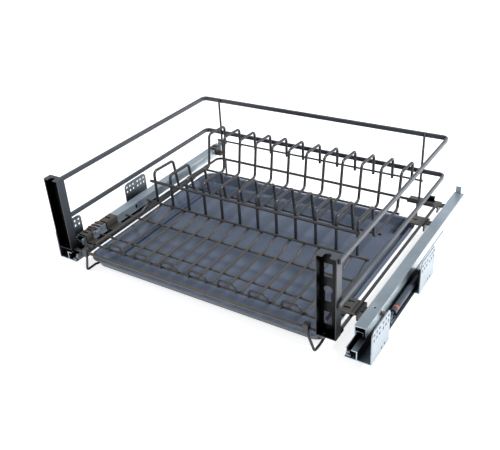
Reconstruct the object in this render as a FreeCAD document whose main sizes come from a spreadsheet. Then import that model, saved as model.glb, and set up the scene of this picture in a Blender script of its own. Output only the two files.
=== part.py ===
import FreeCAD, Part
import Sketcher
import math
import os
import re

# Pull-out dish rack for a 600 mm wide kitchen cabinet.
# Built in millimetres from the middle of the cabinet, the front end of the
# runners and the underside of the runners; every piece is then moved so that
# the origin is the centre of the screw pattern in the left front plate.

os.makedirs("parts", exist_ok=True)
doc = FreeCAD.newDocument("dish_rack")
V = FreeCAD.Vector
sheet = doc.addObject("Spreadsheet::Sheet", "Sizes")

# name, value in millimetres, what it is
SIZES = (
    ("cabinet_half", 284.0, "half the clear width between the cabinet sides"),
    ("origin_y", 30.0, "screw pattern centre behind the runner's front end"),
    ("origin_z", 42.0, "screw pattern centre above the runner's underside"),
    ("runner_length", 450.0, "from the runner's front end to the drawer rail's rear end"),
    ("inner_length", 345.0, "length of the cabinet and middle rails"),
    ("runner_sheet", 1.5, "steel sheet of the runners"),
    ("web_side", 21.5, "cabinet rail web's inner face from the cabinet side"),
    ("web_height", 15.5, "top of the cabinet rail's web and flange"),
    ("flange_inner", 28.5, "inner edge of the web's flange from the cabinet side"),
    ("short_web", 4.8, "height of the web that is left behind the rear screw plate"),
    ("strip_outer", 33.0, "outer edge of the floor strip behind the rear screw plate"),
    ("web_width", 38.0, "inner edge of the cabinet rail's floor from the cabinet side"),
    ("floor_outer", 6.5, "floor's outer edge between the screw plates"),
    ("web_lip", 13.0, "height of the lip on the cabinet rail's floor"),
    ("lip_start", 4.0, "front end of the lip"),
    ("middle_outer", 23.8, "middle rail's outer side from the cabinet side"),
    ("middle_inner", 35.7, "middle rail's inner side from the cabinet side"),
    ("middle_bottom", 17.0, "underside of the middle rail's walls"),
    ("middle_top", 25.0, "top of the middle rail"),
    ("middle_front", 28.5, "front end of the middle rail"),
    ("drawer_front", 28.5, "front end of the drawer rail"),
    ("drawer_outer", 20.0, "drawer rail's outer side from the cabinet side"),
    ("drawer_inner", 37.5, "drawer rail's inner side from the cabinet side"),
    ("drawer_bottom", 17.5, "underside of the drawer rail's walls"),
    ("slot_y", 132.0, "slot in the drawer rail's inner wall behind its front end"),
    ("slot_long", 5.0, "length of that slot"),
    ("slot_low", 22.0, "underside of that slot"),
    ("slot_high", 30.0, "top of that slot"),
    ("drawer_top", 33.0, "top of the drawer rail"),
    ("hook_side", 26.0, "rear hook's outer side from the cabinet side"),
    ("hook_width", 9.0, "hook at the drawer rail's rear end"),
    ("hook_height", 12.0, "height of the rear hook"),
    ("rivet_y", 48.0, "rivet hole behind the drawer rail's front end"),
    ("rivet_r", 1.6, "radius of the rivet hole"),
    ("plate_width", 60.0, "length of a screw plate along the runner"),
    ("plate_height", 54.0, "height of a screw plate"),
    ("plate_corner", 7.0, "rounded upper corner of a screw plate"),
    ("middle_plate_start", 177.0, "front edge of the rear screw plate"),
    ("screw_hole_r", 2.25, "radius of a screw hole"),
    ("screw_row_low", 37.5, "height of the lower row of screw holes"),
    ("screw_row_high", 46.5, "height of the upper row of screw holes"),
    ("screw_pitch", 8.8, "step between screw holes in a group"),
    ("screw_first", 6.2, "first screw hole from the pattern's centre"),
    ("low_hole_r", 2.0, "radius of the two low holes"),
    ("low_hole_first", 34.0, "first low hole from the plate's front edge"),
    ("low_hole_pitch", 10.0, "step between the low holes"),
    ("low_hole_height", 6.0, "height of the two low holes"),
    ("damper_r", 5.0, "radius of the damper cylinder"),
    ("damper_bore_r", 2.0, "radius of the damper's bore"),
    ("damper_start", 108.0, "front end of the damper cylinder"),
    ("damper_length", 96.0, "length of the damper cylinder"),
    ("damper_side", 14.0, "damper axis from the cabinet side"),
    ("damper_height", 9.0, "damper axis above the runner's underside"),
    ("damper_bore_depth", 82.0, "depth of the damper's bore"),
    ("rod_clearance", 0.05, "radial running clearance of the damper rod"),
    ("rod_reach", 22.0, "rod in front of the cylinder at rest"),
    ("rod_head_width", 8.0, "width and height of the rod's block"),
    ("rod_head_length", 14.0, "length of the rod's block"),
    ("ring_width", 3.0, "coloured ring on the damper"),
    ("ring_start", 117.0, "front edge of the coloured ring"),
    ("ring_thickness", 0.6, "thickness of the coloured ring"),
    ("roller_gap", 0.05, "running clearance above and below a roller"),
    ("upper_roller_width", 6.0, "length of a roller under the drawer rail"),
    ("lower_roller_width", 2.8, "length of a roller under the middle rail"),
    ("lower_roller_side", 26.9, "lower rollers' middle from the cabinet side"),
    ("roller_pitch", 32.0, "step between rollers"),
    ("cage_thickness", 1.0, "thickness of a roller cage strip"),
    ("upper_cage_start", 140.0, "front end of the upper roller cage"),
    ("lower_cage_start", 110.0, "front end of the lower roller cage"),
    ("cage_length", 140.0, "length of a roller cage"),
    ("rail_back", 415.5, "back of the flat rails, on the centreline"),
    ("top_rail_z", 146.5, "height of the top rail's centreline"),
    ("mid_rail_z", 78.5, "height of the middle rail's centreline"),
    ("rail_height", 8.0, "height of the flat bar"),
    ("rail_thickness", 4.0, "thickness of the flat bar"),
    ("rail_round", 1.2, "rounding on the flat bar's edges"),
    ("rail_bend", 9.0, "centreline radius of the rail's corners"),
    ("bracket_width", 30.0, "width of a front bracket"),
    ("bracket_depth", 15.0, "depth of a front bracket"),
    ("bracket_bottom", 21.0, "underside of a front bracket"),
    ("bracket_top", 150.0, "top of a front bracket"),
    ("bracket_sheet", 1.5, "steel sheet of a front bracket"),
    ("notch_half", 5.0, "half the width of the notch in a bracket's roof"),
    ("notch_depth", 9.5, "depth of the notch in a bracket's roof"),
    ("floor_hole_x", 9.0, "floor hole from a bracket's left flank"),
    ("floor_hole_y", 7.0, "floor hole from a bracket's front"),
    ("floor_hole_r", 2.5, "radius of the floor hole"),
    ("window_middle", 11.5, "middle of the windows from a bracket's left flank"),
    ("window_half", 6.0, "half the width of a bracket's window"),
    ("lower_window_bottom", 12.0, "lower window's bottom edge above the bracket's underside"),
    ("lower_window_top", 33.5, "lower window's top edge"),
    ("upper_window_bottom", 88.0, "upper window's bottom edge"),
    ("upper_window_top", 110.0, "upper window's top edge"),
    ("keyhole_half", 4.7, "half the width of the keyhole's neck"),
    ("keyhole_r", 6.6, "radius of the keyhole's round head"),
    ("keyhole_bottom", 49.5, "bottom of the keyhole's neck"),
    ("keyhole_centre", 69.0, "centre of the keyhole's round head"),
    ("wire_base_r", 2.5, "radius of the base frame wire"),
    ("base_z", 18.5, "height of the base frame wire"),
    ("base_front", 9.5, "front wire of the base"),
    ("base_bend", 12.0, "centreline radius of the base frame's corners"),
    ("post_r", 2.0, "radius of the rear posts"),
    ("rear_wire_r", 1.75, "radius of the thin upper rear wire"),
    ("rear_wire_z", 64.0, "height of the thin upper rear wire"),
    ("divider_r", 2.5, "radius of the divider wire"),
    ("divider_count", 12, "number of dividers"),
    ("divider_bend", 7.5, "centreline radius of the divider's tight bends"),
    ("divider_low", 36.5, "height of the divider's low run"),
    ("divider_leg_end", 60.5, "lower end of the divider's rear leg"),
    ("divider_rear_top", 98.8, "top of the rear hoop at the back"),
    ("divider_rear_top_front", 101.9, "top of the rear hoop at the front"),
    ("divider_rear_length", 52.5, "length of the rear hoop's top"),
    ("divider_foot", 341.5, "foot of the rear hoop's front leg"),
    ("divider_valley", 242.5, "front end of the low run"),
    ("divider_front_back", 233.0, "front hoop's top at the back"),
    ("divider_front_top_back", 96.2, "height of the front hoop's top at the back"),
    ("divider_front_top", 98.3, "height of the front hoop's top at the front"),
    ("divider_front_leg", 178.5, "front leg of the front hoop"),
    ("divider_front_end", 35.5, "lower end of the front leg"),
    ("cross_r", 2.0, "radius of the cross wires"),
    ("foot_wire_y", 335.0, "cross wire at the feet"),
    ("valley_wire_y", 260.0, "cross wire at the low point"),
    ("row_rail_r", 2.5, "radius of the rail in front of the dividers"),
    ("row_rail_z", 81.0, "height of the rail in front of the dividers"),
    ("bowl_r", 2.0, "radius of the bowl wires"),
    ("bowl_count", 17, "number of bowl wires"),
    ("bowl_z", 27.0, "height of the bowl wires"),
    ("bowl_front", 27.8, "front end of the bowl wires"),
    ("bowl_rise_start", 149.5, "where a bowl wire starts to rise"),
    ("bowl_rise_end", 169.5, "where a bowl wire is level again"),
    ("bowl_end", 175.6, "rear end of the bowl wires"),
    ("bowl_bend", 6.0, "centreline radius of the bowl wire's bends"),
    ("bowl_rear_z", 38.2, "height of the bowl's rear cross wire"),
    ("bowl_second_y", 133.5, "second cross wire under the bowl"),
    ("bowl_third_y", 60.6, "third cross wire under the bowl"),
    ("bowl_front_y", 29.7, "front cross wire under the bowl"),
    ("arch_r", 2.0, "radius of the arch wire"),
    ("arch_count", 7, "number of arches"),
    ("arch_width", 32.0, "width of an arch on its centreline"),
    ("arch_top", 37.5, "height of an arch's top"),
    ("arch_bend", 9.0, "centreline radius of an arch's shoulders"),
    ("fix_thickness", 2.5, "thickness of the fixing plates"),
    ("plate_on_rail", 15.0, "how far a left plate lies on the drawer rail"),
    ("plate_slot", 4.0, "width of the slot in a left plate"),
    ("plate_one", 30.0, "front edge of the left front plate"),
    ("plate_one_long", 16.0, "its length along the rail"),
    ("plate_two", 81.0, "front edge of the left middle plate"),
    ("plate_two_long", 27.0, "its length along the rail"),
    ("plate_three", 421.0, "front edge of the left rear plate"),
    ("plate_three_long", 18.0, "its length along the rail"),
    ("plate_flange", 9.0, "height of the right plates' turned edge"),
    ("lug_width", 12.0, "width of the right plates' lugs"),
    ("lug_top", 28.0, "top of the right plates' lugs"),
    ("carrier_r", 2.0, "radius of the tray carrier wires"),
    ("carrier_z", -18.5, "height of the tray carriers' run"),
    ("carrier_bend", 4.5, "centreline radius of the carrier's bends"),
    ("carrier_turn", 70.0, "where the carrier is fully under the tray"),
    ("carrier_straight", 30.0, "where the carrier starts to turn in"),
    ("clip_width", 8.0, "width of the clip on a carrier's front leg"),
    ("clip_top", 28.0, "top of the clip"),
    ("clip_bottom", 12.5, "underside of the clip"),
    ("carrier_back", 416.0, "rear legs of the carriers"),
    ("tray_front", 14.5, "front of the tray's rim"),
    ("tray_back", 375.0, "back of the tray's rim"),
    ("tray_rim_z", 5.0, "top of the tray's rim"),
    ("tray_draft", 6.5, "how far the tray's wall leans in"),
    ("tray_bevel_in", 5.0, "how far the tray's lower edge goes in"),
    ("tray_bevel_up", 4.5, "height of the tray's lower edge"),
    ("tray_corner", 24.0, "rounded corner of the tray's rim"),
    ("tray_wall", 2.5, "thickness of the tray"),
    ("tray_lip", 3.0, "width of the tray's rim"),
    ("tray_groove", 26.0, "drain groove from the tray's side"),
    ("tray_groove_width", 6.0, "width of a drain groove"),
    ("tray_groove_depth", 1.0, "depth of a drain groove"),
    ("rail_gap_left", 25.5, "flat rails from the left cabinet side"),
    ("rail_gap_right", 48.5, "flat rails from the right cabinet side"),
    ("bracket_gap", 2.0, "left bracket from the left cabinet side"),
    ("base_gap_left", 48.5, "base frame from the left cabinet side"),
    ("base_gap_right", 57.0, "base frame from the right cabinet side"),
    ("front_wire_gap", 22.0, "front wire from the left cabinet side"),
    ("post_inset_left", 15.6, "left rear post from the base frame"),
    ("post_inset_right", 30.0, "right rear post from the base frame"),
    ("rear_wire_over_left", 7.1, "thin upper wire beyond the left post"),
    ("rear_wire_over_right", 5.0, "thin upper wire beyond the right post"),
    ("divider_inset_left", 29.5, "left divider from the base frame"),
    ("divider_inset_right", 43.6, "right divider from the base frame"),
    ("cross_over", 6.0, "cross wires beyond the end dividers"),
    ("bowl_inset_left", 12.5, "left bowl wire from the base frame"),
    ("bowl_inset_right", 26.8, "right bowl wire from the base frame"),
    ("bowl_rear_over_left", 5.0, "the bowl's rear cross wire beyond the left bowl wire"),
    ("bowl_rear_over_right", 5.8, "the bowl's rear cross wire beyond the right bowl wire"),
    ("bowl_second_over_left", 22.0, "the second cross wire beyond the left bowl wire"),
    ("bowl_second_over_right", 3.8, "the second cross wire beyond the right bowl wire"),
    ("bowl_third_over_left", 20.0, "the third cross wire beyond the left bowl wire"),
    ("bowl_third_over_right", 31.8, "the third cross wire beyond the right bowl wire"),
    ("bowl_front_over_left", 4.0, "the front cross wire beyond the left bowl wire"),
    ("bowl_front_over_right", 3.8, "the front cross wire beyond the right bowl wire"),
    ("arch_inset_left", 49.0, "left arch from the left bowl wire"),
    ("arch_inset_right", 47.8, "right arch from the right bowl wire"),
    ("clip_inset_left", 7.0, "left carrier's clip from the base frame"),
    ("clip_inset_right", 42.0, "right carrier's clip from the base frame"),
    ("lean_left", 6.5, "how far the left carrier leans out"),
    ("lean_right", 12.0, "how far the right carrier leans out"),
    ("turn_in_left", 17.0, "how far the left carrier turns in"),
    ("turn_in_right", 4.0, "how far the right carrier turns in"),
    ("tray_over_left", 0.5, "tray's rim beyond the base frame's left wire"),
    ("tray_inset_right", 15.5, "tray's rim inside the base frame's right wire"),
)
# name, how it follows from the sizes above, what it is
WIDTHS = (
    ("rail_left", "-cabinet_half + rail_gap_left",
     "left side of the flat rails, on the centreline"),
    ("rail_right", "cabinet_half - rail_gap_right",
     "right side of the flat rails, on the centreline"),
    ("bracket_left", "-cabinet_half + bracket_gap", "left flank of the left bracket"),
    ("base_left", "-cabinet_half + base_gap_left", "left side of the base frame"),
    ("base_right", "cabinet_half - base_gap_right", "right side of the base frame"),
    ("base_front_start", "-cabinet_half + front_wire_gap", "left end of the front wire"),
    ("post_left", "base_left + post_inset_left", "left rear post"),
    ("post_right", "base_right - post_inset_right", "right rear post"),
    ("rear_wire_start", "post_left - rear_wire_over_left",
     "left end of the thin upper rear wire"),
    ("rear_wire_length", "post_right + rear_wire_over_right - rear_wire_start",
     "length of the thin upper rear wire"),
    ("divider_first", "base_left + divider_inset_left", "left divider"),
    ("divider_pitch", "(base_right - divider_inset_right - divider_first) / (divider_count - 1)",
     "step between dividers"),
    ("cross_start", "divider_first - cross_over",
     "left end of the cross wires under the dividers"),
    ("cross_length", "divider_pitch * (divider_count - 1) + 2 * cross_over",
     "length of the cross wires under the dividers"),
    ("bowl_first", "base_left + bowl_inset_left", "left bowl wire"),
    ("bowl_pitch", "(base_right - bowl_inset_right - bowl_first) / (bowl_count - 1)",
     "step between bowl wires"),
    ("bowl_last", "base_right - bowl_inset_right", "right bowl wire"),
    ("bowl_rear_start", "bowl_first - bowl_rear_over_left",
     "left end of the bowl's rear cross wire"),
    ("bowl_rear_length", "bowl_last + bowl_rear_over_right - bowl_rear_start",
     "length of the bowl's rear cross wire"),
    ("bowl_second_start", "bowl_first - bowl_second_over_left",
     "left end of the second cross wire"),
    ("bowl_second_length", "bowl_last + bowl_second_over_right - bowl_second_start",
     "length of the second cross wire"),
    ("bowl_third_start", "bowl_first - bowl_third_over_left",
     "left end of the third cross wire"),
    ("bowl_third_length", "bowl_last + bowl_third_over_right - bowl_third_start",
     "length of the third cross wire"),
    ("bowl_front_start", "bowl_first - bowl_front_over_left",
     "left end of the front cross wire"),
    ("bowl_front_length", "bowl_last + bowl_front_over_right - bowl_front_start",
     "length of the front cross wire"),
    ("arch_first", "bowl_first + arch_inset_left", "centre of the left arch"),
    ("arch_pitch", "(bowl_last - arch_inset_right - arch_first) / (arch_count - 1)",
     "step between arches"),
    ("carrier_left_top", "base_left + clip_inset_left", "left carrier's front leg at the top"),
    ("carrier_left", "carrier_left_top - lean_left", "left carrier's front leg at the bottom"),
    ("carrier_left_under", "carrier_left + turn_in_left", "left carrier under the tray"),
    ("carrier_right_top", "base_right - clip_inset_right",
     "right carrier's front leg at the top"),
    ("carrier_right", "carrier_right_top + lean_right",
     "right carrier's front leg at the bottom"),
    ("carrier_right_under", "carrier_right - turn_in_right", "right carrier under the tray"),
    ("tray_left", "base_left - tray_over_left", "left side of the tray's rim"),
    ("tray_right", "base_right - tray_inset_right", "right side of the tray's rim"),
)
NAMES = []
for row, (name, value, note) in enumerate(SIZES + WIDTHS, start=1):
    sheet.set("A%d" % row, note)
    sheet.set("B%d" % row, "=" + value if isinstance(value, str) else str(value))
    sheet.setAlias("B%d" % row, name)
    NAMES.append(name)
doc.recompute()
WORD = re.compile(r"[a-z][a-z0-9_]*")


def size(name):
    """Value of a named size."""
    return float(sheet.get(name))


def bound(text):
    """Expression text with every named size read from the sheet."""
    return WORD.sub(lambda m: "Sizes." + m.group(0) if m.group(0) in NAMES else m.group(0), text)


def value_of(text):
    """Number that an expression gives now."""
    got = sheet.evalExpression(bound(text))
    return float(got.Value if hasattr(got, "Value") else got)


def place(thing, x="0", y="0", z="0"):
    """Bind a piece's place; the shift to the origin is part of it."""
    thing.setExpression("Placement.Base.x", bound("cabinet_half + " + x))
    thing.setExpression("Placement.Base.y", bound("-origin_y + " + y))
    thing.setExpression("Placement.Base.z", bound("-origin_z + " + z))


nodes = []


def keep(thing, node):
    thing.Label = node
    nodes.append(thing)
    return thing


def straight_wire(node, radius, length, x, y, z):
    """A straight round wire that runs to the right."""
    wire = doc.addObject("Part::Cylinder", node)
    wire.setExpression("Radius", bound(radius))
    wire.setExpression("Height", bound(length))
    wire.Placement = FreeCAD.Placement(V(0, 0, 0), FreeCAD.Rotation(V(0, 1, 0), 90))
    place(wire, x, y, z)
    return keep(wire, node)


def path_wire(points, bend):
    """Straight runs joined by tangent arcs of one bend radius."""
    edges = []
    start = points[0]
    for i in range(1, len(points) - 1):
        corner = points[i]
        before = (points[i - 1] - corner).normalize()
        after = (points[i + 1] - corner).normalize()
        half = before.getAngle(after) / 2.0
        radius = bend[i - 1] if isinstance(bend, (list, tuple)) else bend
        cut = radius / math.tan(half)
        first = corner + before * cut
        last = corner + after * cut
        inward = (before + after).normalize()
        centre = corner + inward * (radius / math.sin(half))
        middle = centre - inward * radius
        edges.append(Part.LineSegment(start, first).toShape())
        edges.append(Part.Arc(first, middle, last).toShape())
        start = last
    edges.append(Part.LineSegment(start, points[-1]).toShape())
    return Part.Wire(edges)


def swept_tube(points, bend, radius):
    """Round wire along a bent path."""
    path = path_wire(points, bend)
    ahead = (points[1] - points[0]).normalize()
    ring = Part.Wire([Part.Circle(points[0], ahead, radius).toShape()])
    tube = path.makePipeShell([ring], True, False)
    wanted = math.pi * radius ** 2 * path.Length
    if abs(tube.Volume - wanted) > 0.01 * wanted:
        raise ValueError("bent wire has the wrong volume")
    return tube


def swept_piece(node, solids):
    """A piece of bent wire; several solids share the node."""
    piece = doc.addObject("Part::Feature", node)
    piece.Shape = solids[0] if len(solids) == 1 else Part.makeCompound(solids)
    place(piece)
    return keep(piece, node)


def new_body(node):
    return doc.addObject("PartDesign::Body", node)


def plane_of(body, role):
    for item in body.Origin.OriginFeatures:
        if item.Role == role:
            return item
    raise ValueError(role)


def loop_sketch(body, name, role, loops, circles=(), lift="0"):
    """Closed outlines and circles whose points are all bound to the sheet."""
    sketch = body.newObject("Sketcher::SketchObject", name)
    sketch.AttachmentSupport = (plane_of(body, role), [""])
    sketch.MapMode = "FlatFace"
    sketch.setExpression("AttachmentOffset.Base.z", bound(lift))
    for loop in loops:
        spots = [V(value_of(a), value_of(b), 0) for a, b in loop]
        first = sketch.GeometryCount
        for i, spot in enumerate(spots):
            sketch.addGeometry(Part.LineSegment(spot, spots[(i + 1) % len(spots)]))
        for i in range(len(spots)):
            follow = first + (i + 1) % len(spots)
            sketch.addConstraint(Sketcher.Constraint("Coincident", first + i, 2, follow, 1))
        for i, (a, b) in enumerate(loop):
            for kind, text, at in (("DistanceX", a, spots[i].x), ("DistanceY", b, spots[i].y)):
                n = sketch.addConstraint(Sketcher.Constraint(kind, -1, 1, first + i, 1, at))
                sketch.setExpression("Constraints[%d]" % n, bound(text))
    for a, b, r in circles:
        at = V(value_of(a), value_of(b), 0)
        g = sketch.addGeometry(Part.Circle(at, V(0, 0, 1), value_of(r)))
        for kind, text, spot in (("DistanceX", a, at.x), ("DistanceY", b, at.y)):
            n = sketch.addConstraint(Sketcher.Constraint(kind, -1, 1, g, 3, spot))
            sketch.setExpression("Constraints[%d]" % n, bound(text))
        n = sketch.addConstraint(Sketcher.Constraint("Radius", g, value_of(r)))
        sketch.setExpression("Constraints[%d]" % n, bound(r))
    return sketch


def pad(body, name, sketch, length, backwards=False):
    item = body.newObject("PartDesign::Pad", name)
    item.Profile = sketch
    item.setExpression("Length", bound(length))
    item.Reversed = backwards
    sketch.Visibility = False
    return item


def pocket(body, name, sketch, length, backwards=False):
    item = body.newObject("PartDesign::Pocket", name)
    item.Profile = sketch
    item.setExpression("Length", bound(length))
    item.Reversed = backwards
    sketch.Visibility = False
    return item


def box_loop(x1, y1, x2, y2):
    return ((x1, y1), (x2, y1), (x2, y2), (x1, y2))


def across(side, u):
    """Place across the cabinet of a point u from the cabinet's side."""
    if side == "left":
        return "-(cabinet_half - (%s))" % u
    return "cabinet_half - (%s)" % u


def section(side, spots):
    return tuple((across(side, u), z) for u, z in spots)


# The two runners. The right one mirrors the left one.
SCREW_STEPS = ("-screw_first - 2 * screw_pitch", "-screw_first - screw_pitch", "-screw_first",
               "screw_first", "screw_first + screw_pitch", "screw_first + 2 * screw_pitch")


def screw_plate(node, side, start):
    """Perforated plate that is screwed to the cabinet's side."""
    body = new_body(node)
    corner = "plate_corner"
    outline = (("0", "0"), ("plate_width", "0"), ("plate_width", "plate_height - " + corner),
               ("plate_width - 0.3 * " + corner, "plate_height - 0.3 * " + corner),
               ("plate_width - " + corner, "plate_height"), (corner, "plate_height"),
               ("0.3 * " + corner, "plate_height - 0.3 * " + corner),
               ("0", "plate_height - " + corner))
    holes = []
    for step in SCREW_STEPS:
        for row in ("screw_row_low", "screw_row_high"):
            holes.append(("origin_y + " + step, row, "screw_hole_r"))
    for extra in ("0", "low_hole_pitch"):
        holes.append(("low_hole_first + " + extra, "low_hole_height", "low_hole_r"))
    sketch = loop_sketch(body, node + "_outline", "YZ_Plane", [outline], holes)
    pad(body, node + "_sheet", sketch, "runner_sheet")
    place(body, "-cabinet_half" if side == "left" else "cabinet_half - runner_sheet", start)
    return keep(body, node)


def cabinet_rail(node, side):
    """Fixed rail: floor from the screw plates inward, web with a flange, and inner lip."""
    body = new_body(node)
    t = "runner_sheet"
    outline = section(side, (
        (t, "0"), ("web_width", "0"), ("web_width", "web_lip"),
        ("web_width - " + t, "web_lip"), ("web_width - " + t, t), ("web_side", t),
        ("web_side", "web_height - " + t), ("flange_inner", "web_height - " + t),
        ("flange_inner", "web_height"), ("web_side - " + t, "web_height"),
        ("web_side - " + t, t), (t, t)))
    sketch = loop_sketch(body, node + "_section", "XZ_Plane", [outline])
    pad(body, node + "_profile", sketch, "inner_length", True)
    between = box_loop(across(side, "0"), "plate_width", across(side, "floor_outer"),
                       "middle_plate_start")
    behind = box_loop(across(side, "0"), "middle_plate_start + plate_width",
                      across(side, "strip_outer"), "inner_length + 1")
    cuts = loop_sketch(body, node + "_gaps", "XY_Plane", [between], (), t)
    pocket(body, node + "_clear", cuts, t + " + 1")
    under_web = "web_height - short_web"
    back = loop_sketch(body, node + "_rear_gap", "XY_Plane", [behind], (), under_web)
    pocket(body, node + "_rear_clear", back, under_web + " + 1")
    nose = box_loop(across(side, "web_width + 1"), "-1", across(side, "web_width - 2 * " + t),
                    "lip_start")
    front = loop_sketch(body, node + "_lip_gap", "XY_Plane", [nose], (), "web_lip")
    pocket(body, node + "_lip_clear", front, "web_lip - " + t)
    place(body)
    return keep(body, node)


def channel(node, side, outer, inner, bottom, top, long):
    """Inverted channel that runs to the back from the body's origin."""
    body = new_body(node)
    t = "runner_sheet"
    outline = section(side, (
        (outer, bottom), ("%s + %s" % (outer, t), bottom), ("%s + %s" % (outer, t), top + " - " + t),
        ("%s - %s" % (inner, t), top + " - " + t), ("%s - %s" % (inner, t), bottom),
        (inner, bottom), (inner, top), (outer, top)))
    sketch = loop_sketch(body, node + "_section", "XZ_Plane", [outline])
    pad(body, node + "_profile", sketch, long, True)
    return body


def middle_rail(node, side):
    """Middle rail: a channel, open below, between the two roller cages."""
    body = channel(node, side, "middle_outer", "middle_inner", "middle_bottom", "middle_top",
                   "inner_length - middle_front")
    place(body, "0", "middle_front")
    return keep(body, node)


def drawer_rail(node, side):
    """Moving rail that carries the basket, with a slot in its wall and a hook at its rear end."""
    long = "(runner_length - drawer_front)"
    body = channel(node, side, "drawer_outer", "drawer_inner", "drawer_bottom", "drawer_top", long)
    low = across(side, "hook_side + hook_width")
    high = across(side, "hook_side")
    tab = box_loop(low, "drawer_top - runner_sheet", high, "drawer_top + hook_height")
    hook = loop_sketch(body, node + "_hook_outline", "XZ_Plane", [tab], (), "-" + long)
    pad(body, node + "_hook", hook, "runner_sheet")
    holes = ((across(side, "0.5 * (drawer_outer + drawer_inner)"), "rivet_y", "rivet_r"),)
    spots = loop_sketch(body, node + "_hole_spots", "XY_Plane", [], holes, "drawer_top")
    pocket(body, node + "_holes", spots, "drawer_top - drawer_bottom")
    opening = box_loop("slot_y", "slot_low", "slot_y + slot_long", "slot_high")
    slot = loop_sketch(body, node + "_slot_outline", "YZ_Plane", [opening], (),
                       across(side, "drawer_inner - 2 * runner_sheet"))
    pocket(body, node + "_slot", slot, "4 * runner_sheet", side == "left")
    place(body, "0", "drawer_front")
    return keep(body, node)


def roller_cage(node, side, middle, width, low, high, start):
    """Strip with plastic rollers that lie across the rail, between two heights."""
    x = middle - size("cabinet_half")
    if side == "right":
        x = -x
    radius = (high - low) / 2.0 - size("roller_gap")
    height = (low + high) / 2.0
    half = width / 2.0
    length = size("cage_length")
    thick = size("cage_thickness")
    count = int(length // size("roller_pitch")) + 1
    lead = (length - (count - 1) * size("roller_pitch")) / 2.0
    strip = Part.makeBox(2 * half, length, thick, V(x - half, start, height - thick / 2.0))
    for i in range(count):
        y = start + lead + i * size("roller_pitch")
        strip = strip.fuse(Part.makeCylinder(radius, 2 * half, V(x - half, y, height), V(1, 0, 0)))
    piece = doc.addObject("Part::Feature", node)
    piece.Shape = strip.removeSplitter()
    place(piece)
    return keep(piece, node)


def damper(side):
    """Soft-close damper: bored cylinder, coloured ring and a rod with a head."""
    x = size("damper_side") - size("cabinet_half")
    if side == "right":
        x = -x
    back = V(0, 1, 0)
    z = size("damper_height")
    start = size("damper_start")
    body = Part.makeCylinder(size("damper_r"), size("damper_length"), V(x, start, z), back)
    bore = Part.makeCylinder(size("damper_bore_r"), size("damper_bore_depth"), V(x, start, z), back)
    inner = size("damper_r") - size("ring_thickness")
    seat = Part.makeCylinder(size("damper_r"), size("ring_width"), V(x, size("ring_start"), z), back)
    core = Part.makeCylinder(inner, size("ring_width"), V(x, size("ring_start"), z), back)
    ring = seat.cut(core)
    cylinder = doc.addObject("Part::Feature", side + "_damper")
    cylinder.Shape = body.cut(bore).cut(ring)
    place(cylinder)
    keep(cylinder, side + "_damper")
    band = doc.addObject("Part::Feature", side + "_damper_ring")
    band.Shape = ring
    place(band)
    keep(band, side + "_damper_ring")
    reach = size("rod_reach")
    rod_r = size("damper_bore_r") - size("rod_clearance")
    deep = reach + size("damper_bore_depth") - 8.0
    rod = Part.makeCylinder(rod_r, deep, V(x, start - reach, z), back)
    wide = size("rod_head_width")
    head = Part.makeBox(wide, size("rod_head_length"), wide,
                        V(x - wide / 2.0, start - reach, z - wide / 2.0))
    head = head.makeChamfer(1.2, head.Edges)
    plunger = doc.addObject("Part::Feature", side + "_damper_rod")
    plunger.Shape = rod.fuse(head).removeSplitter()
    place(plunger)
    keep(plunger, side + "_damper_rod")


for side in ("left", "right"):
    screw_plate(side + "_front_plate", side, "0")
    screw_plate(side + "_rear_plate", side, "middle_plate_start")
    cabinet_rail(side + "_cabinet_rail", side)
    middle_rail(side + "_middle_rail", side)
    drawer_rail(side + "_drawer_rail", side)
    damper(side)
    rail_middle = (size("middle_outer") + size("middle_inner")) / 2.0
    roller_cage(side + "_upper_rollers", side, rail_middle, size("upper_roller_width"),
                size("middle_top"), size("drawer_top") - size("runner_sheet"),
                size("upper_cage_start"))
    roller_cage(side + "_lower_rollers", side, size("lower_roller_side"),
                size("lower_roller_width"), size("web_height"),
                size("middle_top") - size("runner_sheet"), size("lower_cage_start"))


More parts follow.
